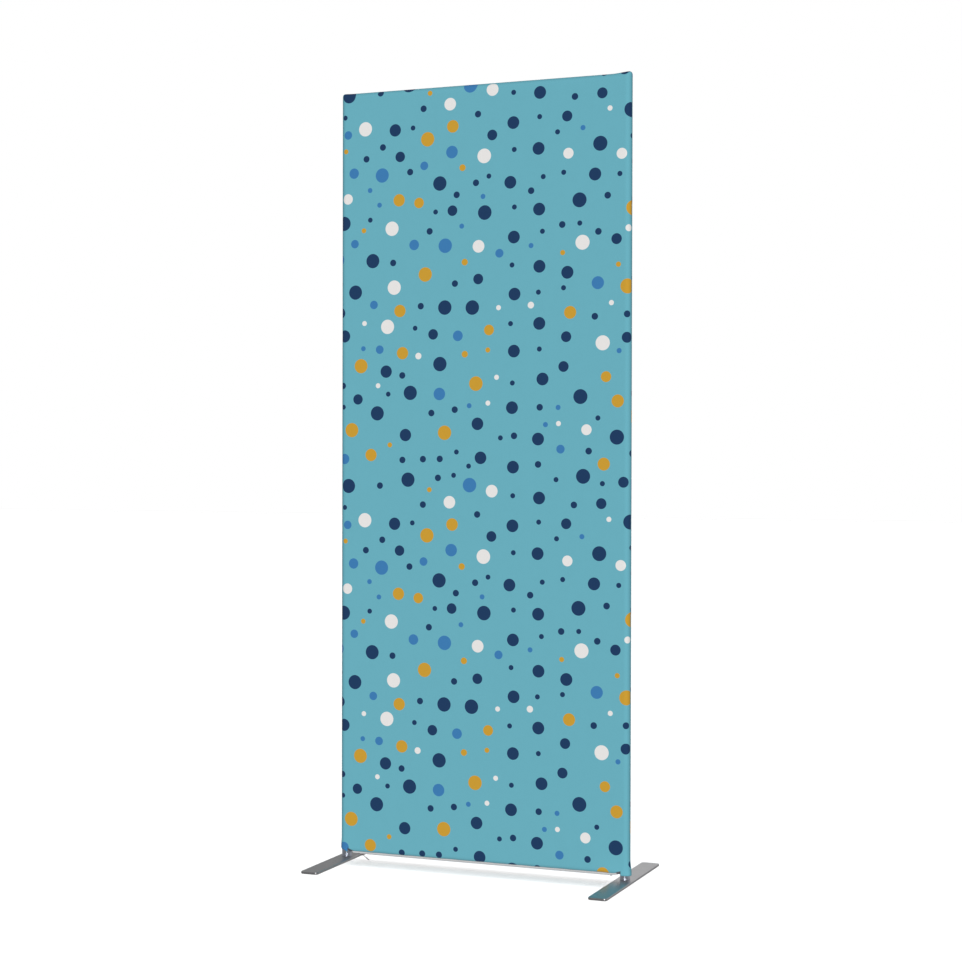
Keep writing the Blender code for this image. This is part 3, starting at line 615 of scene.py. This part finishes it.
def add_wire(bm, points, radius):
    """A round wire along a list of points, with closed ends."""
    rings = []
    for i, point in enumerate(points):
        course = points[min(i + 1, len(points) - 1)] - points[max(i - 1, 0)]
        turn = course.to_track_quat("Z", "Y").to_matrix()
        ring = []
        for k in range(WIRE_SIDES):
            angle = math.tau * k / WIRE_SIDES
            spoke = Vector((radius * math.cos(angle), radius * math.sin(angle), 0))
            ring.append(bm.verts.new(point + turn @ spoke))
        rings.append(ring)
    for near, far in zip(rings, rings[1:]):
        for k in range(WIRE_SIDES):
            after = (k + 1) % WIRE_SIDES
            bm.faces.new((near[k], near[after], far[after], far[k]))
    bm.faces.new(rings[0][::-1])
    bm.faces.new(rings[-1])


def make_coil(name, sign):
    """One nylon coil of the zip. Its turns reach past the middle, between those of the other coil."""
    turns = math.floor(2 * (COIL_HALF - COIL_WIRE - COIL_PITCH) / COIL_PITCH)
    start = -turns * COIL_PITCH / 2 + (COIL_PITCH / 4) * sign
    points = []
    for i in range(turns * COIL_STEPS + 1):
        turn = math.tau * i / COIL_STEPS
        x = start + COIL_PITCH * i / COIL_STEPS
        y = sign * COIL_REACH * (1 + math.cos(turn))
        points.append(Vector((x, y, BOTTOM_RAIL_Z - COIL_DEPTH + COIL_DROP * math.sin(turn))))
    bm = bmesh.new()
    add_wire(bm, points, COIL_WIRE)
    bmesh.ops.recalc_face_normals(bm, faces=bm.faces)
    add_piece(f"{name}_turns", smooth_mesh(name, bm, "zip_nylon"), "zip_nylon", name)


def make_stitching(name, sign):
    """The row of stitches that holds a tape to the lip. Each stitch's two ends dive into the cloth."""
    bm = bmesh.new()
    radius = COVER_RADIUS + STITCH_THREAD * 0.4
    y, z = sign * radius * math.cos(STITCH_TURN), BOTTOM_RAIL_Z - radius * math.sin(STITCH_TURN)
    for x in spaced(-STITCH_HALF, STITCH_HALF, STITCH_PITCH):
        stitch = [Vector((x + share * STITCH_LENGTH, y, z)) for share in (-0.5, -0.25, 0.25, 0.5)]
        for end in (stitch[0], stitch[-1]):
            end.z += STITCH_THREAD
            end.y -= sign * STITCH_THREAD
        add_wire(bm, stitch, STITCH_THREAD)
    bmesh.ops.recalc_face_normals(bm, faces=bm.faces)
    add_piece(name, smooth_mesh(name, bm, "thread"), "printed_fabric")


# Stage

def make_camera():
    """A long lens a little over four metres in front and to the right, level with the wall's middle."""
    data = bpy.data.cameras.new("camera")
    data.sensor_width = 36
    data.lens = CAMERA_LENS
    data.clip_end = 100
    camera = bpy.data.objects.new("camera", data)
    level_x, level_y, reach = math.cos(CAMERA_YAW), math.sin(CAMERA_YAW), math.cos(CAMERA_PITCH)
    level = Vector((level_x, level_y, 0))
    forward = Vector((-level_y * reach, level_x * reach, math.sin(CAMERA_PITCH)))
    upright = level.cross(forward)
    right = math.cos(CAMERA_ROLL) * level + math.sin(CAMERA_ROLL) * upright
    up = math.cos(CAMERA_ROLL) * upright - math.sin(CAMERA_ROLL) * level
    turn = Matrix((right, up, -forward)).transposed().to_4x4()
    camera.matrix_world = Matrix.Translation(CAMERA_PLACE) @ turn
    bpy.context.scene.collection.objects.link(camera)
    bpy.context.scene.camera = camera


def plane(name, corners):
    """A flat sheet of the stage, which isn't part of the object."""
    mesh = bpy.data.meshes.new(name)
    mesh.from_pydata(corners, [], [range(4)])
    obj = bpy.data.objects.new(name, mesh)
    bpy.context.scene.collection.objects.link(obj)
    obj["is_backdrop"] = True
    return obj


def make_floor():
    """A pale floor that is lit by its own light and throws none back."""
    half = FLOOR_HALF
    floor = plane("floor", [(-half, -half, 0), (half, -half, 0), (half, half, 0), (-half, half, 0)])
    material, _, shader = material_tree("floor")
    shader.inputs["Base Color"].default_value = (0.5, 0.5, 0.5, 1)
    shader.inputs["Roughness"].default_value = 1
    shader.inputs["Specular IOR Level"].default_value = 0
    floor.data.materials.append(material)
    floor.visible_diffuse = False
    floor.visible_glossy = False
    return floor


def make_flag():
    """A grey card behind the wall on the left, which only the shiny pieces see."""
    outline = [(FLAG_LEFT, 0), (FLAG_RIGHT, 0), (FLAG_RIGHT, FLAG_HEIGHT), (FLAG_LEFT, FLAG_HEIGHT)]
    flag = plane("flag", [(x, FLAG_BEHIND, z) for x, z in outline])
    material, _, shader = material_tree("flag")
    shader.inputs["Base Color"].default_value = (0, 0, 0, 1)
    shader.inputs["Emission Color"].default_value = (1, 1, 1, 1)
    shader.inputs["Emission Strength"].default_value = 0.38
    flag.data.materials.append(material)
    for ray in ("camera", "diffuse", "transmission", "shadow", "volume_scatter"):
        setattr(flag, f"visible_{ray}", False)


def make_shadow_card():
    """A slim strip over the floor that casts the soft shadow under the wall, and is never seen."""
    near, far = CARD_MIDDLE - CARD_WIDTH / 2, CARD_MIDDLE + CARD_WIDTH / 2
    outline = [(-LIP_HALF, near), (LIP_HALF, near), (LIP_HALF, far), (-LIP_HALF, far)]
    card = plane("shadow card", [(x, y, CARD_HEIGHT) for x, y in outline])
    for ray in ("camera", "diffuse", "glossy", "transmission", "volume_scatter"):
        setattr(card, f"visible_{ray}", False)
    return card


def add_sun(name, direction, strength, angle, lit, casting):
    """A sun that lights only some objects, with shadows from only some."""
    data = bpy.data.lights.new(name, "SUN")
    data.energy = strength
    data.angle = math.radians(angle)
    sun = bpy.data.objects.new(name, data)
    sun.rotation_euler = Vector(direction).to_track_quat("Z", "Y").to_euler()
    bpy.context.scene.collection.objects.link(sun)
    sun.light_linking.receiver_collection = collection_of(f"lit by {name}", lit)
    sun.light_linking.blocker_collection = collection_of(f"casting under {name}", casting)


def collection_of(name, objects):
    made = bpy.data.collections.new(name)
    for obj in objects:
        made.objects.link(obj)
    return made


def make_lights(floor):
    pieces = list(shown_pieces())
    cloth = [obj for obj in pieces if obj.name.startswith(("cover", "zip_tape", "zip_coil", "hem"))]
    feet = [obj for obj in pieces if obj.name.startswith("foot_plate")]
    add_sun("floor light", (0, 0, 1), 6.6, 46, [floor], [make_shadow_card()])
    add_sun("key", (0.37, -0.93, 0.16), 3.2, 8, cloth + feet, pieces)
    add_sun("back", (-0.25, 1, 0.35), 2.6, 20, cloth, pieces)


def make_world():
    """White to the camera, a faint fill on the pieces, and in reflections a gradient, darkest below."""
    world = bpy.data.worlds.new("studio")
    bpy.context.scene.world = world
    world.use_nodes = True
    tree = world.node_tree
    shader = tree.nodes["Background"]
    path = node(tree, "ShaderNodeLightPath")
    direction = node(tree, "ShaderNodeTexCoord").outputs["Generated"]
    _, depth, height = node(tree, "ShaderNodeSeparateXYZ", {0: direction}).outputs
    behind = ramp(tree, depth, -0.6, 0.6, 0.45, 0.90)
    above = ramp(tree, height, 0, 1, 1.0, 0.5)
    below = ramp(tree, height, -0.1, 0, 0.45, 1.0)
    sky = math_node(tree, "MULTIPLY", behind, math_node(tree, "MULTIPLY", above, below))
    fill = mix_values(tree, path.outputs["Is Glossy Ray"], 0.05, sky)
    tree.links.new(mix_values(tree, path.outputs["Is Camera Ray"], fill, 1.0), shader.inputs["Strength"])
    shader.inputs["Color"].default_value = (1, 1, 1, 1)


make_camera()
finish_frame_nodes()
for half, sign in SIDES:
    make_cover_half(f"cover_{half}", sign, SEEDS[half])
for half, sign in SIDES:
    make_tape(f"zip_tape_{half}", sign)
    make_coil(f"zip_coil_{half}", sign)
    make_stitching(f"hem_stitching_{half}", sign)
floor = make_floor()
make_flag()
make_lights(floor)
make_world()
bpy.context.scene.view_settings.view_transform = "Standard"
